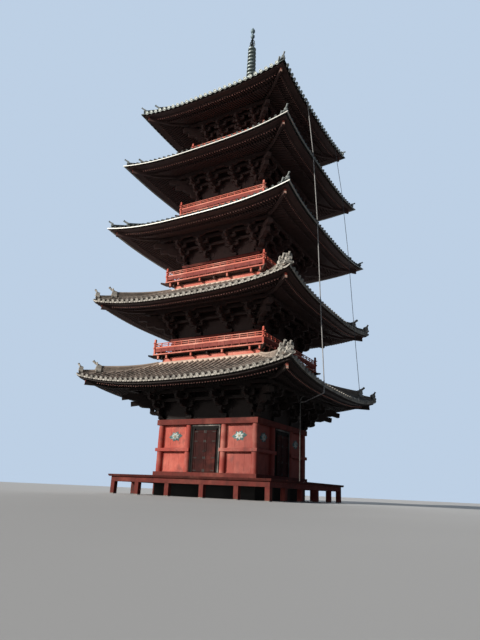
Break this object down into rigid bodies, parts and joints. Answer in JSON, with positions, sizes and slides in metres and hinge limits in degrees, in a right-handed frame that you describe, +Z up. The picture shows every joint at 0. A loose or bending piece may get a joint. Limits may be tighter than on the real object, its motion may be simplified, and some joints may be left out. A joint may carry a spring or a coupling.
{
  "type": "five-storey timber pagoda",
  "caption": "Tall square timber pagoda on a low veranda, with flaring hipped roofs, balconies, bracket sets, a ringed metal finial and double doors that swing out.",
  "frame": {"origin": "on the ground under the middle of the tower", "axes": "+Z up; the front doorway faces -Y; the east side, with the lightning conductors, faces +X"},
  "size_m": [11.42, 11.42, 29.37],
  "materials": {
    "red_timber": "weathered vermilion paint",
    "bright_red_timber": "vermilion paint",
    "dark_timber": "dark red paint",
    "black_lacquer": "black lacquer",
    "roof_tile": "grey fired tile",
    "copper_roof": "dark patina on copper sheet",
    "bronze": "weathered bronze",
    "stone": "cut stone",
    "wire": "galvanized"
  },
  "bodies": {
    "tower": {"stone_base": "stone", "floor_frame": "dark_timber", "veranda_frame": "red_timber", "veranda_deck": "red_timber", "ground_floor": "dark_timber", "sill_ring": "red_timber", "head_ring": "red_timber", "front_wall_left": "red_timber", "front_wall_right": "red_timber", "east_wall_front": "red_timber", "east_wall_back": "red_timber", "back_wall_east": "red_timber", "back_wall_west": "red_timber", "west_wall_back": "red_timber", "west_wall_front": "red_timber", "front_door_frame": "black_lacquer", "east_door_frame": "black_lacquer", "back_doors": "red_timber", "west_doors": "red_timber", "brackets_1": "dark_timber", "brackets_2": "dark_timber", "brackets_3": "dark_timber", "brackets_4": "dark_timber", "brackets_5": "dark_timber", "eaves_1": "dark_timber", "eaves_2": "dark_timber", "eaves_3": "dark_timber", "eaves_4": "dark_timber", "eaves_5": "dark_timber", "roof_1": "roof_tile", "roof_2": "roof_tile", "roof_3": "copper_roof", "roof_4": "copper_roof", "roof_5": "copper_roof", "walls_2": "red_timber", "walls_3": "red_timber", "walls_4": "red_timber", "walls_5": "red_timber", "balcony_2": "bright_red_timber", "balcony_3": "bright_red_timber", "balcony_4": "bright_red_timber", "balcony_5": "bright_red_timber", "railing_2": "bright_red_timber", "railing_3": "bright_red_timber", "railing_4": "bright_red_timber", "railing_5": "bright_red_timber", "finial_base": "bronze", "finial_rings": "bronze", "finial_flame": "bronze", "conductor_front": "wire", "conductor_back": "wire", "conductor_pipe": "wire"},
    "front_left_leaf": {"front_door_left": "red_timber"},
    "front_right_leaf": {"front_door_right": "red_timber"},
    "east_front_leaf": {"east_door_front": "red_timber"},
    "east_back_leaf": {"east_door_back": "red_timber"}
  },
  "joints": [
    {"name": "front_left_hinge", "type": "hinge", "parent": "tower", "child": "front_left_leaf", "pos_m": [-0.595, -2.685, 2], "axis": [0, 0, -1], "range_deg": [0, 95]},
    {"name": "front_right_hinge", "type": "hinge", "parent": "tower", "child": "front_right_leaf", "pos_m": [0.595, -2.685, 2], "axis": [0, 0, 1], "range_deg": [0, 95]},
    {"name": "east_front_hinge", "type": "hinge", "parent": "tower", "child": "east_front_leaf", "pos_m": [2.685, -0.595, 2], "axis": [0, 0, -1], "range_deg": [0, 95]},
    {"name": "east_back_hinge", "type": "hinge", "parent": "tower", "child": "east_back_leaf", "pos_m": [2.685, 0.595, 2], "axis": [0, 0, 1], "range_deg": [0, 95]}
  ]
}
